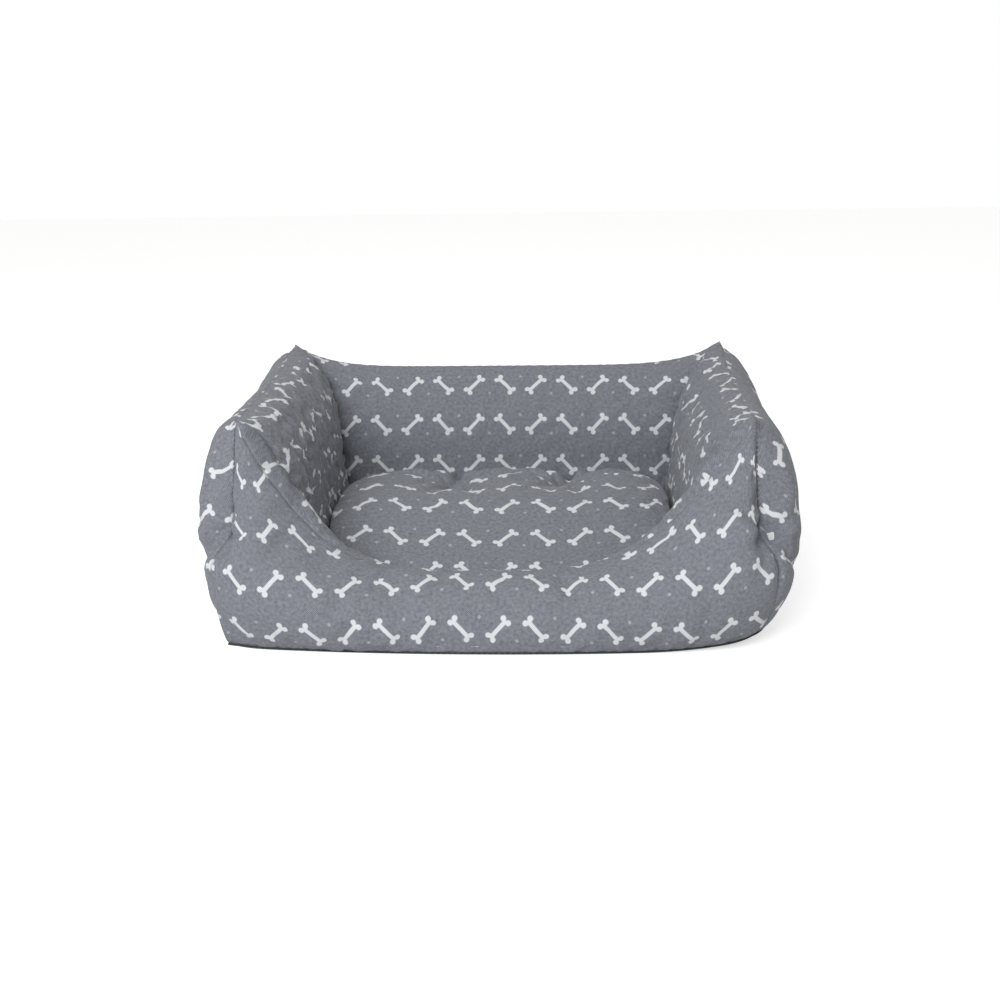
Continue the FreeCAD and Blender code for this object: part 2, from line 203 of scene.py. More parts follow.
weave_group, weave_in, weave_out = new_group(
    "canvas_weave",
    [("Cloth", "NodeSocketVector", None), ("Thread", "NodeSocketFloat", 0.0011)],
    [("Height", "NodeSocketFloat", None), ("Mottle", "NodeSocketFloat", None)],
)
f = Formula(weave_group)
split = weave_group.nodes.new("ShaderNodeSeparateXYZ")
weave_group.links.new(weave_in.outputs["Cloth"], split.inputs[0])
warp = f("MULTIPLY", f("DIVIDE", split.outputs[0], weave_in.outputs["Thread"]), math.pi)
weft = f("MULTIPLY", f("DIVIDE", split.outputs[1], weave_in.outputs["Thread"]), math.pi)
weave_group.links.new(
    f("ADD", 0.5, f("MULTIPLY", 0.5, f("MULTIPLY", f("SINE", warp), f("SINE", weft)))),
    weave_out.inputs["Height"],
)
mottle = weave_group.nodes.new("ShaderNodeTexNoise")
mottle.inputs["Scale"].default_value = 260.0
mottle.inputs["Detail"].default_value = 3.0
mottle.inputs["Roughness"].default_value = 0.65
weave_group.links.new(weave_in.outputs["Cloth"], mottle.inputs["Vector"])
weave_group.links.new(f("MULTIPLY_ADD", mottle.outputs["Fac"], 2.0, -0.5, clamp=True), weave_out.inputs["Mottle"])


def mix_colour(tree, amount, below, above, blend_type="MIX"):
    """A Mix Color node; amount, below and above are sockets or plain values."""
    node = tree.nodes.new("ShaderNodeMix")
    node.data_type = "RGBA"
    node.blend_type = blend_type
    for socket, value in zip((node.inputs[0], node.inputs[6], node.inputs[7]), (amount, below, above)):
        if isinstance(value, (int, float, tuple)):
            socket.default_value = value
        else:
            tree.links.new(value, socket)
    return node.outputs[2]


def printed_canvas(name, shift):
    """The canvas with its print shifted by so many metres across and up."""
    material = bpy.data.materials.new(name)
    material.use_nodes = True
    tree = material.node_tree
    shader = tree.nodes["Principled BSDF"]
    cloth = tree.nodes.new("ShaderNodeUVMap")
    cloth.uv_map = "cloth"
    moved = tree.nodes.new("ShaderNodeVectorMath")
    moved.operation = "ADD"
    moved.inputs[1].default_value = (shift[0], shift[1], 0.0)
    tree.links.new(cloth.outputs[0], moved.inputs[0])
    bones = tree.nodes.new("ShaderNodeGroup")
    bones.node_tree = print_group
    tree.links.new(moved.outputs[0], bones.inputs["Cloth"])
    weave = tree.nodes.new("ShaderNodeGroup")
    weave.node_tree = weave_group
    tree.links.new(cloth.outputs[0], weave.inputs["Cloth"])
    ground = mix_colour(tree, weave.outputs["Mottle"], (0.152, 0.160, 0.184, 1.0), (0.318, 0.330, 0.362, 1.0))
    dotted = mix_colour(tree, 0.55, ground, (0.60, 0.62, 0.66, 1.0))
    with_dots = mix_colour(tree, bones.outputs["Dot"], ground, dotted)
    # The bones' white is greyer where the weave is low. Painted shade of the weave: its height is laid over the whole
    # colour, darker in the hollows between threads and lighter on their crests.
    ink = mix_colour(tree, weave.outputs["Height"], (0.74, 0.75, 0.77, 1.0), (0.86, 0.87, 0.88, 1.0))
    printed = mix_colour(tree, bones.outputs["Bone"], with_dots, ink)
    painted_weave_shade = mix_colour(tree, 0.35, printed, weave.outputs["Height"], "SOFT_LIGHT")
    tree.links.new(painted_weave_shade, shader.inputs["Base Color"])
    rough = tree.nodes.new("ShaderNodeMapRange")
    rough.inputs["To Min"].default_value = 0.78
    rough.inputs["To Max"].default_value = 0.92
    tree.links.new(weave.outputs["Mottle"], rough.inputs["Value"])
    tree.links.new(rough.outputs[0], shader.inputs["Roughness"])
    shader.inputs["Specular IOR Level"].default_value = 0.25
    shader.inputs["Sheen Weight"].default_value = 0.15
    shader.inputs["Sheen Roughness"].default_value = 0.5
    bump = tree.nodes.new("ShaderNodeBump")
    bump.inputs["Strength"].default_value = 0.35
    bump.inputs["Distance"].default_value = 0.0004
    tree.links.new(weave.outputs["Height"], bump.inputs["Height"])
    tree.links.new(bump.outputs[0], shader.inputs["Normal"])
    return material


# ---- Walls --------------------------------------------------------------------------------------
# Four stuffed walls sewn in a ring: outer and inner panels of printed canvas, joined along the
# top, and stitched through at the corners down to half height. The front is cut down in a scoop.
base_low, base_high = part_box("base_panel")
half_width = base_high.x
half_depth = base_high.y
corner_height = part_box("back_outer_panel")[1].z
wall_thickness = 0.084
side_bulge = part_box("right_outer_panel")[1].x - half_width
cloth_thickness = 0.0012
mesh_step = 0.0055
outer_rows = 52
inner_rows = 46

# For each wall, the middle's and the corner's value of each size, and how late it changes.
wall_shape = {
    "front": {"height": (0.0725, corner_height, 1), "bulge": (0.0165, 0.003, 7), "ridge": (-0.045, -0.012, 3)},
    "right": {"height": (0.228, corner_height, 6), "bulge": (side_bulge - 0.007, 0.003, 6), "ridge": (-0.014, -0.012, 3)},
    "back": {"height": (0.2095, corner_height, 7), "bulge": (0.019, 0.003, 6), "ridge": (-0.024, -0.012, 4)},
    "left": {"height": (0.230, corner_height, 6), "bulge": (side_bulge - 0.011, 0.003, 6), "ridge": (-0.013, -0.012, 3)},
}
top_fullness = {"front": 1.9, "right": 2.1, "back": 1.9, "left": 2.4}
foot_fullness = {"front": 1.5, "right": 1.4, "back": 1.6, "left": 0.8}
corner_fullness = 1.6
# How far the base's round corners draw the walls' feet in, at the four corners.
foot_draw = {"front": (-0.007, -0.014), "right": (-0.014, -0.016), "back": (-0.016, -0.016), "left": (-0.016, -0.010)}
pinch_from, pinch_full = 0.088, 0.128
pinch_reach = 0.046
pinch_depth = 0.017


def ease(share):
    return share * share * (3.0 - 2.0 * share)


def hold(sizes, share):
    """A size that keeps near its middle value along a wall and turns to its corner value."""
    middle, corner, power = sizes
    return middle + (corner - middle) * share ** power


def wall_sizes(wall, share):
    """Height, bulge, top seam and foot of the section at a share of the wall's half length."""
    a = abs(share)
    shape = wall_shape[wall]
    height = hold(shape["height"], a)
    bulge = hold(shape["bulge"], a)
    ridge = hold(shape["ridge"], a)
    foot = 0.0
    if wall == "front":
        low, high, _ = shape["height"]
        height = low + (1 - (1 - a ** (4.7 if share < 0 else 3.8)) ** 1.25) * (high - low)
        bulge += 0.007 * ease(min(1.0, a / 0.75)) * (1 - a ** 7)
        foot = 0.016 * (1 - min(1.0, a / 0.95) ** 2)
    start = 1.0 - 0.060 / (half_width if wall in ("front", "back") else half_depth)
    corner = foot_draw[wall][0 if share < 0 else 1]
    foot += corner * (max(0.0, a - start) / (1.0 - start)) ** 2
    return height, bulge, ridge, foot


def even_points(line, count):
    """The same line through count + 1 evenly spaced points."""
    step = np.linalg.norm(np.diff(line, axis=0), axis=1)
    run = np.concatenate([[0.0], np.cumsum(step)])
    at = np.linspace(0.0, run[-1], count + 1)
    return np.stack([np.interp(at, run, line[:, k]) for k in range(2)], axis=1)


def bow(t, fullness):
    """How far a stuffed edge still stands out at a share t of the way to its seam."""
    return np.maximum(0.0, 1 - t ** fullness) ** (1 / fullness)


def section(wall, share):
    """The (n, z) points of a wall's section, up the outside and down the inside."""
    height, bulge, ridge, foot = wall_sizes(wall, share)
    a = abs(share)
    full = hold((top_fullness[wall], corner_fullness, 9), a)
    waist = 0.48 * height
    t = np.sin(np.linspace(0.0, 1.0, 60) * math.pi / 2)
    rise = np.linspace(0.0, 1.0, 60)
    low_full = hold((foot_fullness[wall], 1.5, 6), a)
    low = np.stack([foot + (bulge - foot) * bow(1 - rise, low_full), 0.002 + (waist - 0.002) * rise], 1)
    top = np.stack([ridge + (bulge - ridge) * bow(t, full), waist + (height - waist) * t], 1)
    outer = np.concatenate([low[:-1], top])
    half = half_width if wall in ("front", "back") else half_depth
    near = max(0.0, 1.0 - (1.0 - a) * half / pinch_reach) ** 1.7
    stitched = ease(np.clip((outer[:, 1] - pinch_from) / (pinch_full - pinch_from), 0.0, 1.0))
    outer[:, 0] -= stitched * near * (outer[:, 0] + pinch_depth)
    ridge = outer[-1, 0]
    belly = 0.012 * height / corner_height - wall_thickness
    seat = 0.44 * height
    down = np.stack([ridge - (ridge - belly) * bow(t, full), seat + (height - seat) * t], 1)[::-1]
    foot_line = np.stack([belly + (-wall_thickness - belly) * ease(rise), seat + (0.004 - seat) * rise], 1)
    inner = np.concatenate([down[:-1], foot_line])
    return even_points(outer, outer_rows), even_points(inner, inner_rows)


def place(wall, along, n, z):
    if wall == "front":
        return along, -half_depth - n, z
    if wall == "back":
        return -along, half_depth + n, z
    if wall == "right":
        return half_width + n, along, z
    return -half_width - n, -along, z


def settle(points):
    """The front corners' tops lean back away from the scoop, and the back corners splay out."""
    up = np.clip((points[..., 2] - 0.05) / 0.188, 0.0, 1.1) ** 1.4
    front = np.clip((0.10 - points[..., 1]) / 0.34, 0.0, 1.0)
    back = np.clip((points[..., 1] - 0.06) / 0.18, 0.0, 1.0)
    points[..., 1] += 0.060 * up * ease(front)
    points[..., 0] *= 1.0 + 0.028 * up * ease(back)
    points[..., 2] += 0.0025 * up ** 3 * ease(back)
    low = 1.0 - np.clip(points[..., 2] / 0.09, 0.0, 1.0)
    points[..., 2] += 0.013 * low * np.clip((points[..., 0] - 0.16) / 0.13, 0.0, 1.2) ** 2 * ease(front)
    return points


walls = ["front", "right", "back", "left"]
half_length = {"front": half_width, "back": half_width, "right": half_depth, "left": half_depth}
columns = {w: 2 * round(half_length[w] / mesh_step) for w in walls}
rows = outer_rows + inner_rows
ring = []
for wall in walls:
    for k in range(columns[wall]):
        share = -1.0 + 2.0 * k / columns[wall]
        outer, inner = section(wall, share)
        line = np.concatenate([outer, inner[1:]])
        ring.append([place(wall, share * (half_length[wall] + n), n, z) for n, z in line])
ring = settle(np.array(ring))
column_count = len(ring)
first_column = {}
start = 0
for wall in walls:
    first_column[wall] = start
    start += columns[wall]


def inflate(name, points, faces, held, pressure, slack, cap, frames=22):
    """Cloth sewn at the held points and blown up from inside; no point moves further than cap."""
    mesh = bpy.data.meshes.new(name)
    mesh.from_pydata(points.tolist(), [], [tuple(int(i) for i in f) for f in faces])
    soft = bpy.data.objects.new(name, mesh)
    scene.collection.objects.link(soft)
    group = soft.vertex_groups.new(name="sewn")
    for index in np.nonzero(held > 0.0)[0]:
        group.add([int(index)], float(held[index]), "REPLACE")
    cloth = soft.modifiers.new("cloth", "CLOTH").settings
    cloth.quality = 5
    cloth.mass = 0.25
    cloth.tension_stiffness = 18.0
    cloth.compression_stiffness = 18.0
    cloth.shear_stiffness = 6.0
    cloth.bending_stiffness = 0.35
    cloth.vertex_group_mass = "sewn"
    cloth.use_pressure = True
    cloth.uniform_pressure_force = pressure
    cloth.shrink_min = -slack
    cloth.effector_weights.gravity = 0.0
    soft.modifiers["cloth"].collision_settings.use_collision = False
    scene.frame_start = 1
    scene.frame_end = frames
    soft.modifiers["cloth"].point_cache.frame_end = frames
    for number in range(1, frames + 1):
        scene.frame_set(number)
    swollen = soft.evaluated_get(bpy.context.evaluated_depsgraph_get()).to_mesh()
    moved = np.zeros(len(swollen.vertices) * 3, np.float32)
    swollen.vertices.foreach_get("co", moved)
    moved = moved.reshape(-1, 3).astype(float) - points
    bpy.data.objects.remove(soft)
    bpy.data.meshes.remove(mesh)
    scene.frame_set(1)
    far = np.linalg.norm(moved, axis=1, keepdims=True)
    return points + moved * np.tanh(far / cap) * cap / np.maximum(far, 1e-9)


def new_piece(name, points, faces, uvs=None):
    """A mesh object; uvs are one (across, up) pair per point, in metres of cloth."""
    mesh = bpy.data.meshes.new(name)
    mesh.from_pydata([tuple(p) for p in points], [], [tuple(int(i) for i in f) for f in faces])
    mesh.polygons.foreach_set("use_smooth", [True] * len(mesh.polygons))
    if uvs is not None:
        layer = mesh.uv_layers.new(name="cloth")
        corner_point = np.zeros(len(mesh.loops), np.int32)
        mesh.loops.foreach_get("vertex_index", corner_point)
        layer.data.foreach_set("uv", np.asarray(uvs, np.float32)[corner_point].ravel())
    piece = bpy.data.objects.new(name, mesh)
    scene.collection.objects.link(piece)
    return piece


def grid_faces(wide, tall, flip=False):
    """Quads of a grid of points numbered column by column."""
    faces = []
    for i in range(wide - 1):
        for j in range(tall - 1):
            a = i * tall + j
            quad = (a, a + tall, a + tall + 1, a + 1)
            faces.append(quad[::-1] if flip else quad)
    return faces


def panel_slice(wall, first_row, last_row):
    """The points of one panel, column by column, both mitre columns included."""
    picked = [(first_column[wall] + k) % column_count for k in range(columns[wall] + 1)]
    return ring[picked][:, first_row:last_row + 1]


ring_faces = []
tall = rows + 1
for i in range(column_count):
    following = (i + 1) % column_count
    for j in range(rows):
        ring_faces.append((i * tall + j, following * tall + j, following * tall + j + 1, i * tall + j + 1))
held = np.zeros((column_count, tall))
held[:, 0] = held[:, -1] = 1.0
held[:, outer_rows] = 1.0
for wall in walls:
    corner = first_column[wall]
    held[corner, (ring[corner, :, 2] > 0.12) & (np.arange(tall) <= outer_rows)] = 1.0
    held[corner, outer_rows:] = 1.0


def drawn_in(points, faces, depth):
    """The points of a closed surface moved inwards along its own slope."""
    corners = np.array([f[:3] for f in faces])
    last = np.array([f[-1] for f in faces])
    slope = np.cross(points[corners[:, 1]] - points[corners[:, 0]], points[last] - points[corners[:, 0]])
    summed = np.zeros_like(points)
    for k in range(3):
        np.add.at(summed, corners[:, k], slope)
    np.add.at(summed, last, slope)
    return points - depth * summed / np.maximum(np.linalg.norm(summed, axis=1, keepdims=True), 1e-12)


def crumple(u, v, seed, longest=0.085, count=22, slant=0.9):
    """Soft creases in cloth, about -1 to 1: ridged waves of many lengths across each other."""
    luck = np.random.default_rng(seed)
    total = np.zeros_like(u)
    weight = 0.0
    for k in range(count):
        length = longest * 0.35 ** luck.random()
        way = slant + luck.normal() * 0.75
        wave = np.sin(2 * math.pi * (u * math.cos(way) + v * math.sin(way)) / length + 6.28 * luck.random())
        gate = 0.5 + 0.5 * np.sin(2 * math.pi * (u * math.sin(way) - v * math.cos(way)) / (3.1 * length) + 6.28 * luck.random())
        total += length * gate * (1.0 - 2.0 * np.abs(wave) ** 0.75)
        weight += length * 0.32
    return total / weight


# Creases in the outer canvas: along and height of both ends, half width and depth, by wall.
creases = {
    "front": [
        (-0.288, 0.112, -0.205, 0.088, 0.009, 0.0050), (-0.288, 0.118, -0.220, 0.150, 0.008, 0.0035),
        (-0.285, 0.105, -0.235, 0.050, 0.010, 0.0030), (-0.130, 0.070, -0.020, 0.058, 0.012, 0.0015),
        (0.290, 0.122, 0.222, 0.104, 0.009, 0.0065), (0.290, 0.128, 0.232, 0.172, 0.008, 0.0035),
        (0.286, 0.112, 0.240, 0.060, 0.010, 0.0040), (0.080, 0.066, 0.190, 0.074, 0.012, 0.0018),
    ],
    "right": [
        (-0.225, 0.116, -0.130, 0.092, 0.010, 0.0060), (-0.225, 0.124, -0.150, 0.165, 0.009, 0.0040),
        (-0.215, 0.100, -0.120, 0.045, 0.012, 0.0040), (0.225, 0.116, 0.140, 0.090, 0.010, 0.0050),
        (-0.060, 0.030, 0.060, 0.075, 0.014, 0.0025),
    ],
    "left": [
        (0.225, 0.112, 0.140, 0.090, 0.010, 0.0055), (0.225, 0.120, 0.150, 0.160, 0.009, 0.0040),
        (0.215, 0.100, 0.130, 0.050, 0.012, 0.0030), (-0.225, 0.116, -0.140, 0.095, 0.010, 0.0050),
    ],
    "back": [
        (-0.288, 0.116, -0.200, 0.095, 0.010, 0.0050), (0.288, 0.116, 0.200, 0.092, 0.010, 0.0050),
        (-0.150, 0.050, 0.020, 0.075, 0.016, 0.0025), (0.090, 0.130, 0.200, 0.110, 0.014, 0.0020),
    ],
}
crumpled = {"front": (0.0010, 0.0014), "right": (0.0018, 0.0042), "back": (0.0013, 0.0018), "left": (0.0016, 0.0062)}
sunk = np.zeros((column_count, tall))
row_number = np.arange(tall)
from_seam = np.abs(row_number - outer_rows)
for number, wall in enumerate(walls):
    start, count = first_column[wall], columns[wall]
    part = ring[start:start + count]
    share = np.linspace(-1.0, 1.0, count, endpoint=False)[:, None]
    u = share * half_length[wall] + 0.0 * part[..., 2]
    z = part[..., 2]
    outside = row_number[None, :] <= outer_rows
    calm = np.clip(np.minimum(row_number, tall - 1 - row_number) / 6.0, 0.0, 1.0)[None, :]
    calm = calm * np.clip(from_seam / 5.0, 0.0, 1.0)[None, :] * np.clip((1 - np.abs(share)) / 0.03, 0.0, 1.0)
    outer_depth, inner_depth = crumpled[wall]
    sunk[start:start + count] += calm * np.where(
        outside,
        outer_depth * crumple(u, z, 20 + number, 0.12, slant=0.2),
        inner_depth * crumple(u, z, 40 + number, 0.066),
    )
    for u0, z0, u1, z1, wide, depth in creases[wall]:
        length = math.hypot(u1 - u0, z1 - z0)
        along = ((u - u0) * (u1 - u0) + (z - z0) * (z1 - z0)) / length
        off = ((u - u0) * (z1 - z0) - (z - z0) * (u1 - u0)) / length
        fade = ease(np.clip(1.0 - along / length, 0.0, 1.0)) * np.clip(1.0 + along / 0.012, 0.0, 1.0)
        valley = np.exp(-((off / wide) ** 2)) - 0.45 * np.exp(-((off / (2.2 * wide)) ** 2))
        sunk[start:start + count] += np.where(outside, depth * 1.6 * valley * fade, 0.0)
    pucker = 0.5 + 0.5 * np.sin(2 * math.pi * u / 0.0165 + 2.0 * np.sin(u / 0.021))
    sunk[start:start + count] += np.exp(-((from_seam / 1.3) ** 2)) * (0.0012 + 0.0006 * pucker)
    sunk[start:start + count] += np.where(from_seam > 0, 0.0009 * pucker * np.exp(-((from_seam / 4.0) ** 2)), 0.0)
ring = drawn_in(ring.reshape(-1, 3), ring_faces, sunk.reshape(-1, 1))
swollen = inflate("walls_sewing", ring, ring_faces, held.ravel(), 2.5, 0.03, 0.006)
ring = swollen.reshape(column_count, tall, 3)

def laid_flat(points, across):
    """(across, up) of a panel's cloth laid flat from its foot; its top part turns where it climbs."""
    step = np.diff(points, axis=1)
    length = np.linalg.norm(step, axis=2)
    ahead = np.minimum(np.arange(len(points)) + 3, len(points) - 1)
    behind = np.maximum(np.arange(len(points)) - 3, 0)
    climb = np.arctan2(points[ahead, :, 2] - points[behind, :, 2], across[ahead] - across[behind])
    climb = (climb[:, 1:] + climb[:, :-1]) / 2 * ease(np.clip(np.linspace(-2.6, 1.8, step.shape[1]), 0.0, 1.0))
    way = climb + np.arccos(np.clip(np.sin(climb) * step[..., 2] / length, -1.0, 1.0))
    first = np.zeros((len(points), 1))
    aside = np.concatenate([first, np.cumsum(length * np.cos(way), axis=1)], axis=1)
    return across + aside, np.concatenate([first, np.cumsum(length * np.sin(way), axis=1)], axis=1)


# The print runs level round the outside, measured along the cloth from the middle of the front.
plan_step = np.linalg.norm(np.roll(ring[..., :2], -1, axis=0) - ring[..., :2], axis=2)
round_run = np.concatenate([np.zeros((1, tall)), np.cumsum(plan_step, axis=0)])
middle_front = first_column["front"] + columns["front"] // 2
round_run -= round_run[middle_front]
whole_way = round_run[-1] - round_run[0]
for wall in walls:
    start = first_column[wall]
    run_across = round_run[start:start + columns[wall] + 1]
    if wall == "left":
        run_across = run_across - whole_way
    for side, first, last in (("outer", 0, outer_rows), ("inner", outer_rows, rows)):
        points = panel_slice(wall, first, last)
        across = run_across[:, first:last + 1]
        if side == "outer":
            if wall != "front":
                middle = across[columns[wall] // 2]
                across = across - middle + middle[0]
            across, up = laid_flat(points, across)
            up *= 0.945
            shift = (0.5 * bone_pitch - 0.006, 0.5 * row_pitch - 0.0275)
        else:
            across, up = laid_flat(points[:, ::-1], across[:, ::-1] - across[columns[wall] // 2, ::-1])
            across, up = across[:, ::-1], up[:, ::-1]
            across = -0.967 * across if wall == "back" else across
            shift = (1.5 * bone_pitch + 0.001 + 0.9 * bone_pitch * (wall == "front"), 0.5 * row_pitch - 0.0262)
        uvs = np.stack([across, up], -1).reshape(-1, 2)
        faces = grid_faces(columns[wall] + 1, last - first + 1)
        panel = new_piece(f"{wall}_{side}_canvas", points.reshape(-1, 3), faces, uvs)
        thick = panel.modifiers.new("cloth", "SOLIDIFY")
        thick.thickness = cloth_thickness
        thick.offset = -1.0
        panel.data.materials.append(printed_canvas(f"{wall}_{side}_print", shift))
        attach(panel, "surround")
        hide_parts(f"{wall}_{side}_panel")

# ---- Wall fillings ------------------------------------------------------------------------------
# Loose polyester fibre packed into each wall, a few millimetres inside its canvas. It gives the
# walls their shape, and is closed off at the corners by the stitching.


def fibre_filling():
    material = bpy.data.materials.new("white_fibre")
    material.use_nodes = True
    tree = material.node_tree
    shader = tree.nodes["Principled BSDF"]
    tuft = tree.nodes.new("ShaderNodeTexNoise")
    tuft.inputs["Scale"].default_value = 90.0
    tuft.inputs["Detail"].default_value = 6.0
    place_in = tree.nodes.new("ShaderNodeTexCoord")
    tree.links.new(place_in.outputs["Object"], tuft.inputs["Vector"])
    tint = mix_colour(tree, tuft.outputs["Fac"], (0.70, 0.70, 0.68, 1.0), (0.90, 0.90, 0.88, 1.0))
    tree.links.new(tint, shader.inputs["Base Color"])
    shader.inputs["Roughness"].default_value = 0.95
    bump = tree.nodes.new("ShaderNodeBump")
    bump.inputs["Distance"].default_value = 0.002
    tree.links.new(tuft.outputs["Fac"], bump.inputs["Height"])
    tree.links.new(bump.outputs[0], shader.inputs["Normal"])
    return material


fibre = fibre_filling()
for wall in walls:
    points = panel_slice(wall, 0, rows)
    kept = np.linspace(1, columns[wall] - 1, columns[wall] // 3).round().astype(int)
    points = points[kept][:, 1::3]
    wide, deep = points.shape[:2]
    faces = grid_faces(wide, deep)
    for i in range(wide - 1):
        a, b = i * deep, (i + 1) * deep
        faces.append((a, a + deep - 1, b + deep - 1, b))
    inner = drawn_in(points.reshape(-1, 3), faces, 0.0055)
    faces.append(tuple(range(deep)))
    faces.append(tuple(range((wide - 1) * deep, wide * deep))[::-1])
    filling = new_piece(f"{wall}_wall_fibre", inner, faces)
    filling.data.materials.append(fibre)
    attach(filling, "surround")
    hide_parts(f"{wall}_wall_filling")

# ---- Cushion ------------------------------------------------------------------------------------
# A loose stuffed cushion in the same canvas: a top and a bottom panel sewn together round the
# edge, and tied through with two cords that pull deep tufts in its back half.
nest_x = half_width - wall_thickness
nest_y = half_depth - wall_thickness
cushion_low, cushion_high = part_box("cushion_bottom_panel")
seam_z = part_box("cushion_top_panel")[0].z
cushion_floor = cushion_low.z
cushion_half = (nest_x - 0.0045, nest_y - 0.0045)
crown = 0.043
tufts = [(-0.064, 0.084), (0.080, 0.088)]
tuft_floor = 0.060
cushion_wide, cushion_deep = 96, 70


def round_square(a, b, corner=0.80):
    """Moves a point of the square -1..1 towards a square with round corners."""
    pull = np.maximum(0.0, np.abs(a) * np.abs(b)) ** 5 * (1 - corner) * 0.9
    return a * (1 - pull), b * (1 - pull)


def cushion_grid(top, plain=False):
    """Points of the top or bottom panel; the plain one has no creases or tufts."""
    a, b = np.meshgrid(np.linspace(-1, 1, cushion_wide + 1), np.linspace(-1, 1, cushion_deep + 1), indexing="ij")
    a = np.sin(a * math.pi / 2) * 0.35 + a * 0.65
    b = np.sin(b * math.pi / 2) * 0.35 + b * 0.65
    u, v = round_square(a, b)
    pinch = 0.006 * (1 - np.cos(np.clip(1 - np.abs(np.abs(a) - np.abs(b)), 0, 1) * math.pi)) / 2
    x = u * (cushion_half[0] - pinch)
    y = v * (cushion_half[1] - pinch)
    front_rise = ease(np.clip((b + 1) / 1.05, 0.0, 1.0))
    if not top:
        belly = bow(np.abs(a), 5.0) * bow(np.abs(b), 4.0)
        return np.stack([x, y, seam_z - (seam_z - cushion_floor - 0.0006) * np.minimum(1.0, belly * 1.15)], -1)
    dome = bow(np.abs(a), 8.0) * np.where(b > 0, bow(np.abs(b), 7.0), 1.0) * front_rise
    edge_drop = 0.006 * np.clip((np.abs(a) - 0.55) / 0.45, 0, 1) ** 2 + 0.008 * np.clip((b - 0.45) / 0.55, 0, 1) ** 2
    height = seam_z + (crown - edge_drop) * dome
    if plain:
        return np.stack([x, y, height], -1)
    height = height - 0.0032 * dome * (crumple(x, y, 63, 0.060, slant=0.5) + 0.8 * crumple(x, y, 64, 0.034, slant=1.2))
    for number, (cx, cy) in enumerate(tufts):
        away = np.hypot(x - cx, y - cy)
        turn = np.arctan2(y - cy, x - cx)
        folds = np.cos(9 * turn + 1.3 + number) + 0.6 * np.cos(14 * turn + 0.4 + 2.0 * number)
        height = height + 0.0040 * folds * np.exp(-(((away - 0.034) / 0.036) ** 2)) * np.clip(away / 0.02, 0, 1)
        behind = np.clip((y - cy + 0.02) / 0.05, 0.0, 1.0)
        valley = np.exp(-(((x - cx - 0.05 * (y - cy)) / 0.013) ** 2)) * ease(behind) * dome
        height = height - 0.011 * valley
        height = height - (height - tuft_floor) * np.exp(-((away / 0.021) ** 1.3))
    return np.stack([x, y, height], -1)


top_points = cushion_grid(True)
bottom_points = cushion_grid(False)
top_count = top_points.size // 3
cushion_tall = cushion_deep + 1
shell = np.concatenate([top_points.reshape(-1, 3), bottom_points.reshape(-1, 3)])
index = np.arange(top_count).reshape(cushion_wide + 1, cushion_tall)
under = index + top_count
edge = np.zeros(index.shape, bool)
edge[0, :] = edge[-1, :] = edge[:, 0] = edge[:, -1] = True
under[edge] = index[edge]
shell_faces = []
for i in range(cushion_wide):
    for j in range(cushion_deep):
        shell_faces.append((index[i, j], index[i + 1, j], index[i + 1, j + 1], index[i, j + 1]))
        shell_faces.append((under[i, j], under[i, j + 1], under[i + 1, j + 1], under[i + 1, j]))
used = np.unique(np.array(shell_faces))
renumber = -np.ones(len(shell), int)
renumber[used] = np.arange(len(used))
held = np.zeros(len(shell))
for cx, cy in tufts:
    held[:top_count][np.hypot(shell[:top_count, 0] - cx, shell[:top_count, 1] - cy) < 0.006] = 1.0
held[index[edge]] = 0.6
held[top_count:][shell[top_count:, 2] < cushion_floor + 0.002] = 1.0
swollen = inflate("cushion_sewing", shell[used], renumber[np.array(shell_faces)], held[used], 3.0, 0.035, 0.010)
shell[used] = swollen
shell[:, 0] = np.clip(shell[:, 0], -nest_x + 0.003, nest_x - 0.003)
shell[:, 1] = np.clip(shell[:, 1], -nest_y + 0.003, nest_y - 0.003)
shell[:, 2] = np.maximum(shell[:, 2], cushion_floor + 0.0004)
shell[under[edge]] = shell[index[edge]]


def over_surface(surface):
    """(across, up) of each point, measured over the surface from its middle and its front edge."""
    across = np.zeros(surface.shape[:2])
    across[1:] = np.cumsum(np.linalg.norm(np.diff(surface, axis=0), axis=2), axis=0)
    up = np.zeros(surface.shape[:2])
    up[:, 1:] = np.cumsum(np.linalg.norm(np.diff(surface, axis=1), axis=2), axis=1)
    return np.stack([0.945 * (across - across[cushion_wide // 2]), up], -1).reshape(-1, 2)


# Along the zip, the two panels part and their edges lie on the zip's tapes.
zip_low, zip_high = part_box("zip_tape_lower")[0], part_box("zip_tape_upper")[1]
canvas_sides = {}
for name, ids, edge_z in (
    ("cushion_top_canvas", index, zip_high.z - 0.0012),
    ("cushion_bottom_canvas", np.arange(top_count).reshape(index.shape) + top_count, zip_low.z + 0.0012),
):
    side = shell[ids.ravel()].reshape(index.shape + (3,)).copy()
    for back in range(6):
        j = cushion_deep - back
        open_share = ease(np.clip((zip_high.x - np.abs(side[:, j, 0])) / 0.010, 0.0, 1.0)) * (1 - back / 6.0) ** 1.5
        side[:, j, 2] += (edge_z - side[:, j, 2]) * open_share
        side[:, j, 1] += (zip_high.y + 0.0014 - side[:, j, 1]) * open_share
    canvas_sides[name] = side
for name, flip, node in (
    ("cushion_top_canvas", False, "cushion_top_panel"),
    ("cushion_bottom_canvas", True, "cushion_bottom_panel"),
):
    uvs = over_surface(cushion_grid(not flip, plain=True))
    side = canvas_sides[name].reshape(-1, 3)
    panel = new_piece(name, side, grid_faces(cushion_wide + 1, cushion_tall, flip), uvs)
    thick = panel.modifiers.new("cloth", "SOLIDIFY")
    thick.thickness = cloth_thickness
    thick.offset = -1.0
    smooth = panel.modifiers.new("fine", "SUBSURF")
    smooth.levels = smooth.render_levels = 1
    panel.data.materials.append(printed_canvas(name + "_print", (0.5 * bone_pitch - 0.008, 0.017)))
    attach(panel, "cushion")
    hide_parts(node)

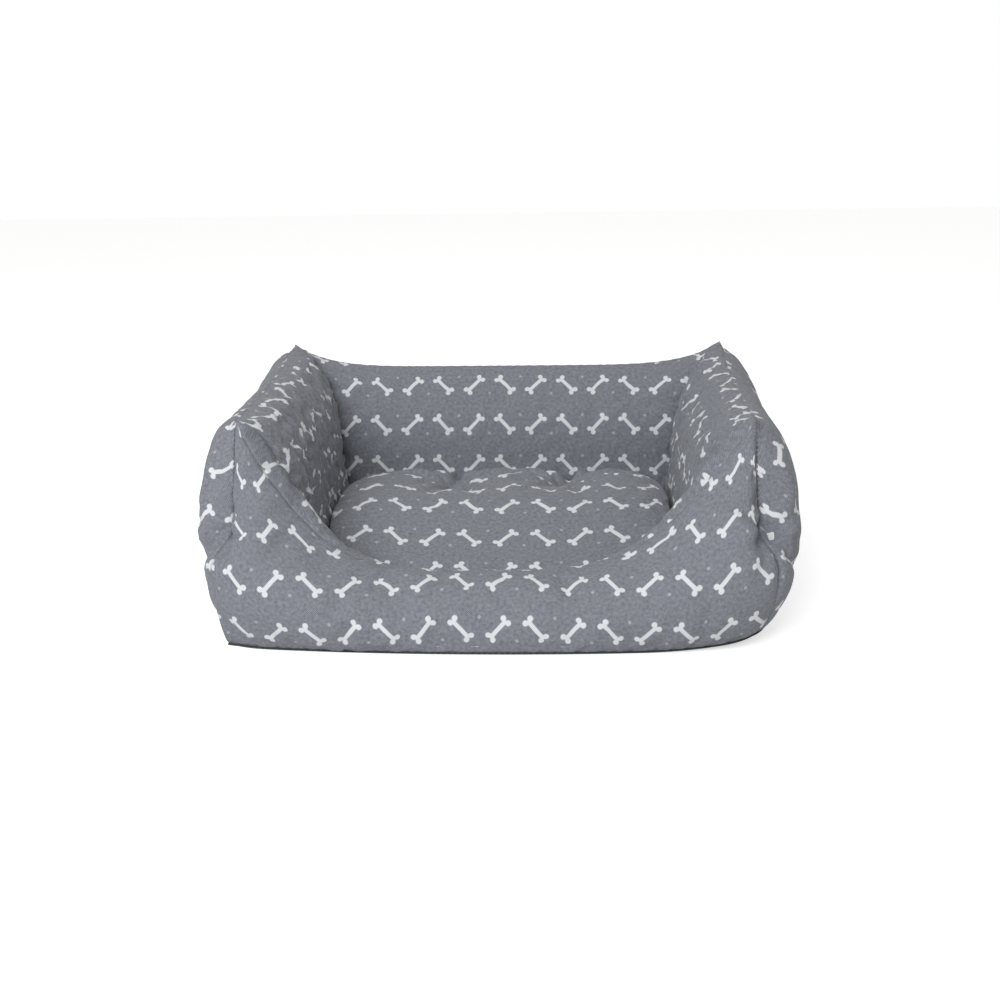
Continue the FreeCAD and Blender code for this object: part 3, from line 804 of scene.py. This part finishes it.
core_faces = renumber[np.array(shell_faces)]
core = drawn_in(shell[used], core_faces, 0.004)
behind_zip = (np.abs(core[:, 0]) < zip_high.x + 0.006) & (core[:, 2] > zip_low.z - 0.004) & (core[:, 2] < zip_high.z + 0.004)
core[:, 1] = np.where(behind_zip, np.minimum(core[:, 1], zip_low.y - 0.004), core[:, 1])
filling = new_piece("cushion_fibre", core, core_faces)
filling.data.materials.append(fibre)
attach(filling, "cushion")
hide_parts("cushion_filling")

# ---- Tuft cords ---------------------------------------------------------------------------------
# Twisted grey thread pulled through the cushion and knotted at both ends. The top knot sits at
# the bottom of each tuft, where the folds of the canvas close round it.


def thread_finish(name, dark, light):
    material = bpy.data.materials.new(name)
    material.use_nodes = True
    tree = material.node_tree
    shader = tree.nodes["Principled BSDF"]
    twist = tree.nodes.new("ShaderNodeTexWave")
    twist.bands_direction = "DIAGONAL"
    twist.inputs["Scale"].default_value = 420.0
    twist.inputs["Distortion"].default_value = 0.6
    place_in = tree.nodes.new("ShaderNodeTexCoord")
    tree.links.new(place_in.outputs["Object"], twist.inputs["Vector"])
    # Painted shade of the twist: the thread is darker in the grooves between its plies and lighter on them.
    tree.links.new(mix_colour(tree, twist.outputs["Fac"], dark, light), shader.inputs["Base Color"])
    shader.inputs["Roughness"].default_value = 0.7
    bump = tree.nodes.new("ShaderNodeBump")
    bump.inputs["Distance"].default_value = 0.0003
    tree.links.new(twist.outputs["Fac"], bump.inputs["Height"])
    tree.links.new(bump.outputs[0], shader.inputs["Normal"])
    return material


def tube(name, lines, radius, sides=8, closed=False):
    """Round thread or piping along each line of points, its radius one value or one per point."""
    points, faces = [], []
    for line in lines:
        line = np.asarray(line, float)
        count = len(line)
        ahead = np.roll(line, -1, axis=0) if closed else np.concatenate([line[1:], line[-1:]])
        behind = np.roll(line, 1, axis=0) if closed else np.concatenate([line[:1], line[:-1]])
        way = ahead - behind
        way /= np.maximum(np.linalg.norm(way, axis=1, keepdims=True), 1e-12)
        hint = np.where(np.abs(way[:, 2:3]) > 0.9, [[1.0, 0.0, 0.0]], [[0.0, 0.0, 1.0]])
        first = np.cross(way, hint)
        first /= np.linalg.norm(first, axis=1, keepdims=True)
        second = np.cross(way, first)
        start = len(points)
        reach = np.broadcast_to(radius, (count,))
        for i in range(count):
            for k in range(sides):
                angle = 2 * math.pi * k / sides
                points.append(line[i] + reach[i] * (math.cos(angle) * first[i] + math.sin(angle) * second[i]))
        for i in range(count if closed else count - 1):
            following = (i + 1) % count
            for k in range(sides):
                turned = (k + 1) % sides
                a, b = start + i * sides, start + following * sides
                faces.append((a + k, a + turned, b + turned, b + k))
        if not closed:
            faces.append(tuple(start + k for k in range(sides))[::-1])
            faces.append(tuple(start + (count - 1) * sides + k for k in range(sides)))
    return new_piece(name, np.array(points), faces)


grey_thread = thread_finish("grey_thread", (0.10, 0.105, 0.12, 1.0), (0.24, 0.25, 0.28, 1.0))
cord_lines = []
for cx, cy in tufts:
    near_top = np.hypot(shell[:top_count, 0] - cx, shell[:top_count, 1] - cy)
    top_z = shell[:top_count, 2][near_top < 0.008].min()
    cord_lines.append([(cx, cy, z) for z in np.linspace(cushion_floor + 0.003, top_z + 0.0005, 14)])
    knot = [(cx + 0.0032 * math.cos(t), cy + 0.0032 * math.sin(t), top_z + 0.0022) for t in np.linspace(0, 5.6, 16)]
    cord_lines.append(knot)
cords = tube("tuft_threads", cord_lines, 0.0014)
cords.data.materials.append(grey_thread)
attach(cords, "cushion")
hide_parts("tuft_cords")

# ---- Zip ----------------------------------------------------------------------------------------
# A coil zip along the cushion's back edge: two woven tapes with nylon teeth, metal stops, and a
# nickel-plated slider with a hinged pull.


def zip_tape_finish():
    material = bpy.data.materials.new("woven_tape")
    material.use_nodes = True
    tree = material.node_tree
    shader = tree.nodes["Principled BSDF"]
    place_in = tree.nodes.new("ShaderNodeTexCoord")
    weave = tree.nodes.new("ShaderNodeGroup")
    weave.node_tree = weave_group
    weave.inputs["Thread"].default_value = 0.0005
    turned = tree.nodes.new("ShaderNodeVectorRotate")
    turned.rotation_type = "X_AXIS"
    turned.inputs["Angle"].default_value = -math.pi / 2
    tree.links.new(place_in.outputs["Object"], turned.inputs["Vector"])
    tree.links.new(turned.outputs[0], weave.inputs["Cloth"])
    # Painted shade of the weave: the tape is lighter on its threads' crests and darker in the hollows between them.
    tint = mix_colour(tree, weave.outputs["Height"], (0.09, 0.095, 0.11, 1.0), (0.20, 0.21, 0.235, 1.0))
    tree.links.new(tint, shader.inputs["Base Color"])
    shader.inputs["Roughness"].default_value = 0.85
    bump = tree.nodes.new("ShaderNodeBump")
    bump.inputs["Distance"].default_value = 0.0002
    tree.links.new(weave.outputs["Height"], bump.inputs["Height"])
    tree.links.new(bump.outputs[0], shader.inputs["Normal"])
    return material


def speckled_finish(name, dark, light, metallic, rough_low, rough_high, speckle):
    """Moulded nylon or plated metal: a fine variation of colour and gloss."""
    material = bpy.data.materials.new(name)
    material.use_nodes = True
    tree = material.node_tree
    shader = tree.nodes["Principled BSDF"]
    place_in = tree.nodes.new("ShaderNodeTexCoord")
    grain = tree.nodes.new("ShaderNodeTexNoise")
    grain.inputs["Scale"].default_value = speckle
    grain.inputs["Detail"].default_value = 4.0
    tree.links.new(place_in.outputs["Object"], grain.inputs["Vector"])
    tree.links.new(mix_colour(tree, grain.outputs["Fac"], dark, light), shader.inputs["Base Color"])
    shader.inputs["Metallic"].default_value = metallic
    rough = tree.nodes.new("ShaderNodeMapRange")
    rough.inputs["To Min"].default_value = rough_low
    rough.inputs["To Max"].default_value = rough_high
    tree.links.new(grain.outputs["Fac"], rough.inputs["Value"])
    tree.links.new(rough.outputs[0], shader.inputs["Roughness"])
    bump = tree.nodes.new("ShaderNodeBump")
    bump.inputs["Strength"].default_value = 0.3
    bump.inputs["Distance"].default_value = 0.0001
    tree.links.new(grain.outputs["Fac"], bump.inputs["Height"])
    tree.links.new(bump.outputs[0], shader.inputs["Normal"])
    return material


tape = zip_tape_finish()
nylon = speckled_finish("nylon_teeth", (0.11, 0.115, 0.13, 1.0), (0.17, 0.175, 0.19, 1.0), 0.0, 0.35, 0.5, 900.0)
nickel = speckled_finish("nickel_plate", (0.42, 0.43, 0.45, 1.0), (0.58, 0.58, 0.60, 1.0), 1.0, 0.22, 0.38, 700.0)
for node, finish in (
    ("zip_tape_upper", tape), ("zip_tape_lower", tape), ("zip_teeth", nylon),
    ("zip_stops", nickel), ("zip_slider", nickel), ("zip_pull", nickel),
):
    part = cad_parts[node]
    part.data.materials.clear()
    part.data.materials.append(finish)

# ---- Corner stitching ---------------------------------------------------------------------------
# Rows of grey thread stitches that draw each corner of the surround together from the top seam
# down to half height. They sit in the bottom of the crease that they pull.
stitch_pitch = 0.0052
stitch_lines = []
for wall in walls:
    line = ring[first_column[wall], :outer_rows + 1]
    run = np.concatenate([[0.0], np.cumsum(np.linalg.norm(np.diff(line, axis=0), axis=1))])
    outward = line.copy()
    outward[:, 2] = 0.0
    outward /= np.linalg.norm(outward, axis=1, keepdims=True)
    from_top = run[-1] - run
    for k in range(21):
        at = 0.010 + k * stitch_pitch
        span = np.linspace(at, at + 0.0036, 5)
        stitch = np.stack([np.interp(span, from_top[::-1], (line + outward * 0.0006)[::-1, i]) for i in range(3)], 1)
        stitch -= outward[outer_rows // 2] * np.array([0.0010, 0.0, -0.0002, 0.0, 0.0010])[:, None]
        stitch_lines.append(stitch)
stitches = tube("corner_stitches", stitch_lines, 0.00055, sides=6)
stitches.data.materials.append(grey_thread)
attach(stitches, "surround")
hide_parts("corner_stitching")

# ---- Base ---------------------------------------------------------------------------------------
# The underside is dark cloth with a non-slip coating of small dots. On it, inside the walls, lie
# a flat fibre pad and the lining that covers it.
base_cloth_thickness = 0.0014


def dotted_base_cloth():
    material = bpy.data.materials.new("non_slip_cloth")
    material.use_nodes = True
    tree = material.node_tree
    shader = tree.nodes["Principled BSDF"]
    place_in = tree.nodes.new("ShaderNodeTexCoord")
    dots = tree.nodes.new("ShaderNodeTexVoronoi")
    dots.inputs["Scale"].default_value = 160.0
    dots.inputs["Randomness"].default_value = 0.0
    tree.links.new(place_in.outputs["Object"], dots.inputs["Vector"])
    raised = tree.nodes.new("ShaderNodeMapRange")
    raised.inputs["From Min"].default_value = 0.34
    raised.inputs["From Max"].default_value = 0.26
    tree.links.new(dots.outputs["Distance"], raised.inputs["Value"])
    tint = mix_colour(tree, raised.outputs[0], (0.045, 0.046, 0.050, 1.0), (0.085, 0.086, 0.092, 1.0))
    tree.links.new(tint, shader.inputs["Base Color"])
    rough = tree.nodes.new("ShaderNodeMapRange")
    rough.inputs["To Min"].default_value = 0.85
    rough.inputs["To Max"].default_value = 0.5
    tree.links.new(raised.outputs[0], rough.inputs["Value"])
    tree.links.new(rough.outputs[0], shader.inputs["Roughness"])
    bump = tree.nodes.new("ShaderNodeBump")
    bump.inputs["Distance"].default_value = 0.0004
    tree.links.new(raised.outputs[0], bump.inputs["Height"])
    tree.links.new(bump.outputs[0], shader.inputs["Normal"])
    return material


ring_shares = np.linspace(0.0, 1.0, 26)


def disc(name, outline, thickness):
    """A laid sheet inside an outline: rings of points closing on its centre, given a thickness."""
    middle_z = outline[:, 2].min()
    points = [(0.0, 0.0, middle_z)]
    for share in ring_shares[1:]:
        points += [(x * share, y * share, middle_z + (z - middle_z) * share ** 5) for x, y, z in outline]
    faces = [(0, 1 + k, 1 + (k + 1) % len(outline)) for k in range(len(outline))]
    for i in range(len(ring_shares) - 2):
        for k in range(len(outline)):
            a, b = 1 + i * len(outline), 1 + (i + 1) * len(outline)
            following = (k + 1) % len(outline)
            faces.append((a + k, b + k, b + following, a + following))
    sheet = new_piece(name, np.array(points), faces)
    thick = sheet.modifiers.new("cloth", "SOLIDIFY")
    thick.thickness = thickness
    thick.offset = 1.0
    return sheet


foot_line = ring[:, 0] * (1.004, 1.004, 1.0) - (0.0, 0.0, 0.0018)
underside = disc("underside", foot_line, base_cloth_thickness)
underside.data.materials.append(dotted_base_cloth())
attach(underside, "surround")
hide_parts("base_panel")

pad_low, pad_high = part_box("base_wadding")
angle = np.linspace(0.0, 2 * math.pi, 160, endpoint=False)
curve = np.stack([np.cos(angle), np.sin(angle)], 1)
curve = np.sign(curve) * np.abs(curve) ** 0.16
pad_outline = curve * (pad_high.x - 0.001, pad_high.y - 0.001)
pad_points, pad_faces = [], []
profile = [(share, -1.0) for share in np.linspace(0.0, 0.985, 12)]
profile += [(0.985 + 0.015 * math.cos(t), math.sin(t)) for t in np.linspace(-math.pi / 2, math.pi / 2, 9)[1:-1]]
profile += [(share, 1.0) for share in np.linspace(0.985, 0.0, 12)]
pad_middle, pad_half = (pad_low.z + pad_high.z) / 2, (pad_high.z - pad_low.z) / 2 - 0.0004
for share, level in profile:
    quilt = 0.0006 * math.cos(share * 24) * (level > 0)
    pad_points += [(x * share, y * share, pad_middle + level * pad_half + quilt * min(1.0, share * 3)) for x, y in pad_outline]
for i in range(len(profile) - 1):
    for k in range(len(pad_outline)):
        a, b = i * len(pad_outline), (i + 1) * len(pad_outline)
        following = (k + 1) % len(pad_outline)
        pad_faces.append((a + k, a + following, b + following, b + k))
wadding = new_piece("floor_wadding", np.array(pad_points), pad_faces)
wadding.data.materials.append(fibre)
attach(wadding, "surround")
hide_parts("base_wadding")

lining_low, lining_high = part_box("base_lining")
lining_edge = np.column_stack([curve * (lining_high.x, lining_high.y), np.full(len(curve), lining_low.z + 0.0001)])
lining = disc("floor_lining", lining_edge, lining_high.z - lining_low.z - 0.0003)
lining_cloth = lining.data.uv_layers.new(name="cloth")
corner_point = np.zeros(len(lining.data.loops), np.int32)
lining.data.loops.foreach_get("vertex_index", corner_point)
flat_places = np.array([tuple(v.co)[:2] for v in lining.data.vertices], np.float32)
lining_cloth.data.foreach_set("uv", flat_places[corner_point].ravel())
lining.data.materials.append(printed_canvas("floor_lining_print", (0.0, 0.0)))
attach(lining, "surround")
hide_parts("base_lining")
